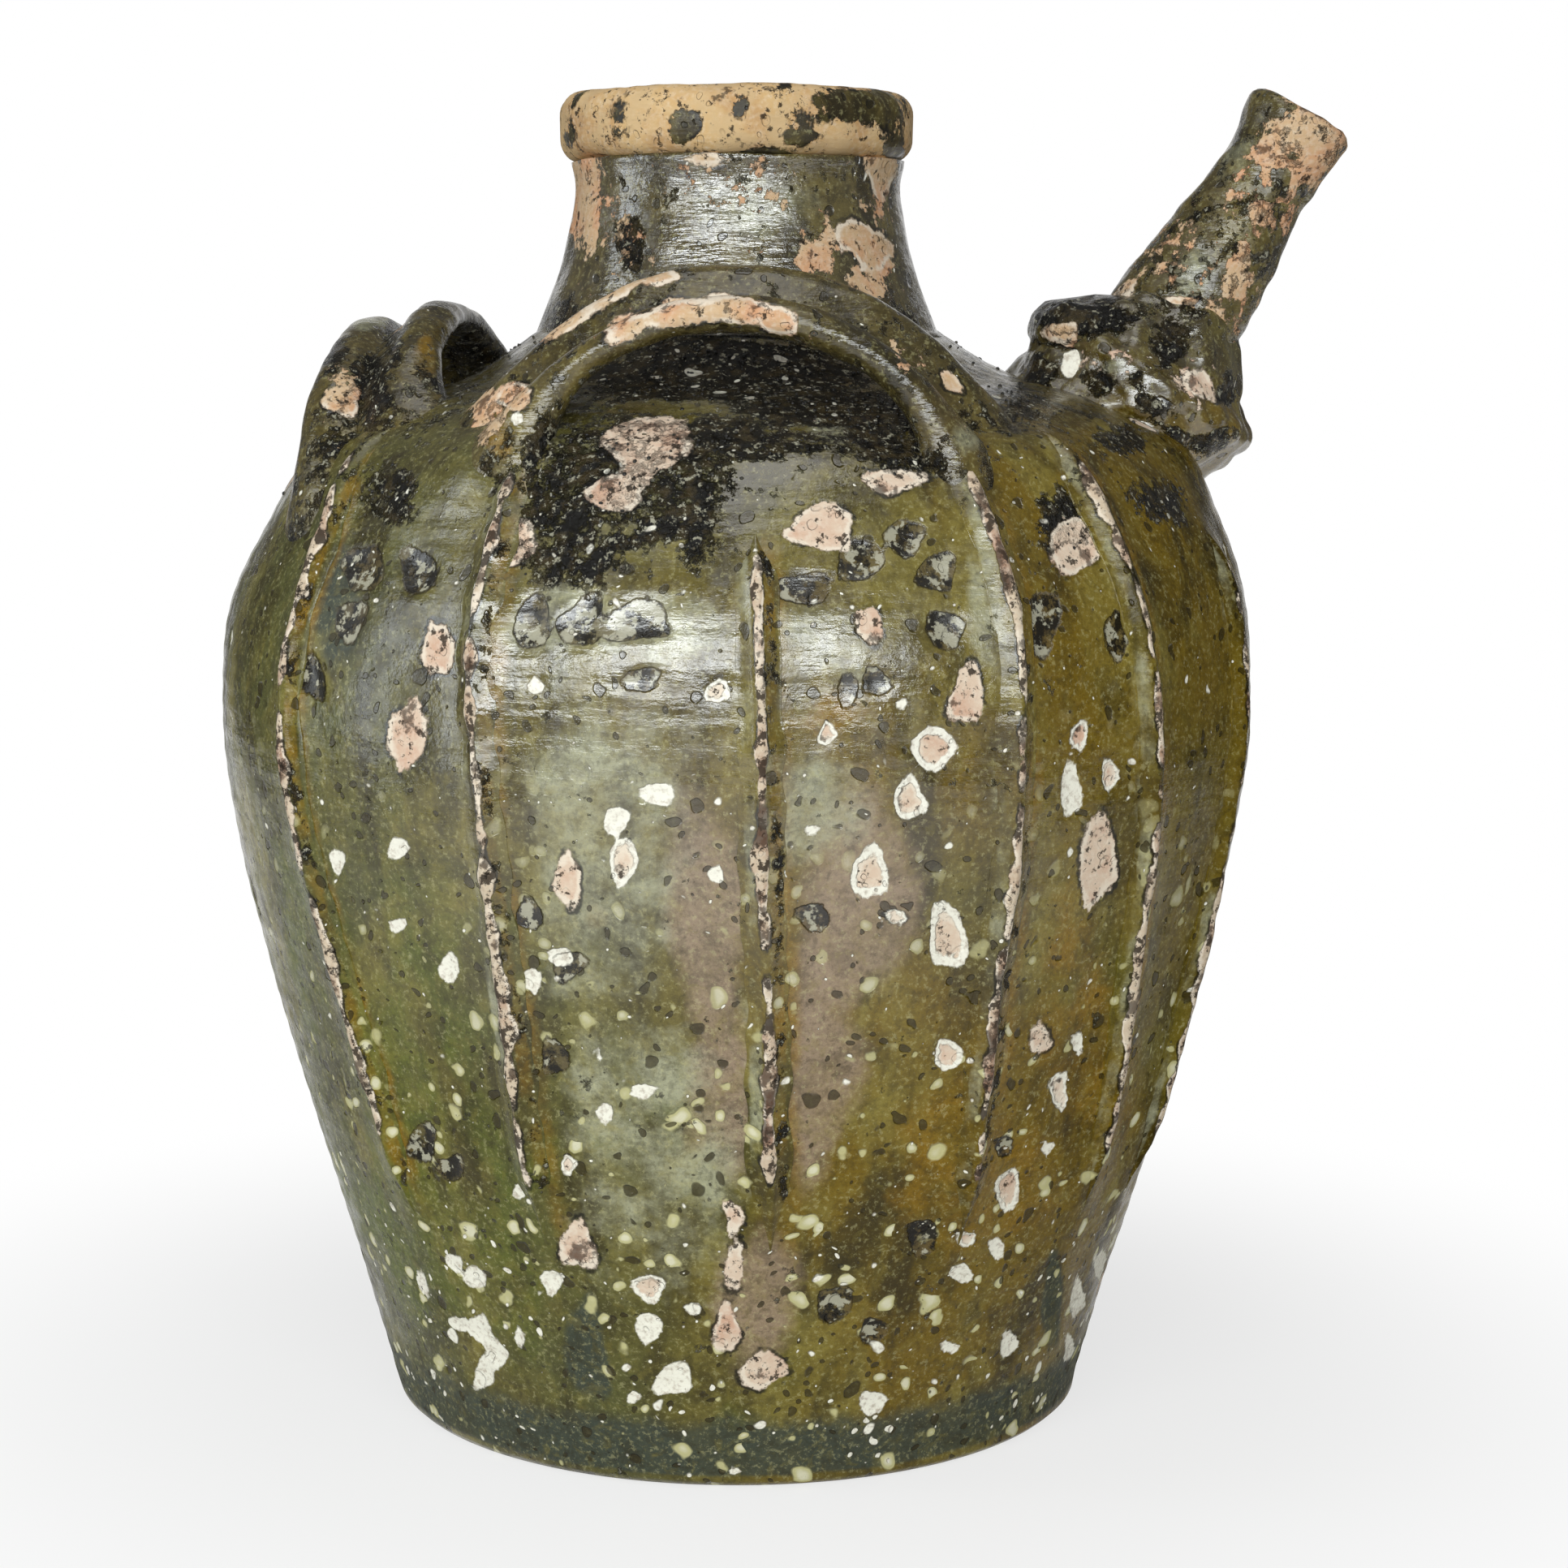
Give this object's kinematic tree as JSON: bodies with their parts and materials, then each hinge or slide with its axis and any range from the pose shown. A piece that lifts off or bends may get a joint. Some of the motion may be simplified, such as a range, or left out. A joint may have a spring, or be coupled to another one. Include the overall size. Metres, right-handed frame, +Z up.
{
  "type": "spouted ceramic oil jar",
  "caption": "Ovoid glazed earthenware jar with a rolled mouth, a slanted pouring spout, double-ridged strap handles on the shoulder and raised strips down the body.",
  "frame": {"origin": "middle of the flat foot, on the jar's axis", "axes": "+Z up along the jar's axis, +X towards the spout, -Y the front with the handle that faces the viewer"},
  "size_m": [0.3438, 0.3243, 0.4038],
  "materials": {
    "olive_glaze": "glossy olive lead glaze, pitted and chipped to white slip and pink clay",
    "dark_glaze": "dark olive glaze, sooted and worn to orange clay on its ridges",
    "bare_clay": "bare beige clay with dark specks"
  },
  "bodies": {
    "root": {"jar_body": "olive_glaze", "neck_collar": "dark_glaze", "rim_band": "bare_clay", "spout_tube": "dark_glaze", "spout_socket": "olive_glaze", "spout_lug": "dark_glaze", "handle_front": "dark_glaze", "handle_left": "dark_glaze", "handle_back": "dark_glaze", "strip_01": "olive_glaze", "strip_02": "olive_glaze", "strip_03": "olive_glaze", "strip_04": "olive_glaze", "strip_05": "olive_glaze", "strip_06": "olive_glaze", "strip_07": "olive_glaze", "strip_08": "olive_glaze", "strip_09": "olive_glaze", "strip_10": "olive_glaze", "strip_11": "olive_glaze", "strip_12": "olive_glaze"}
  },
  "joints": []
}
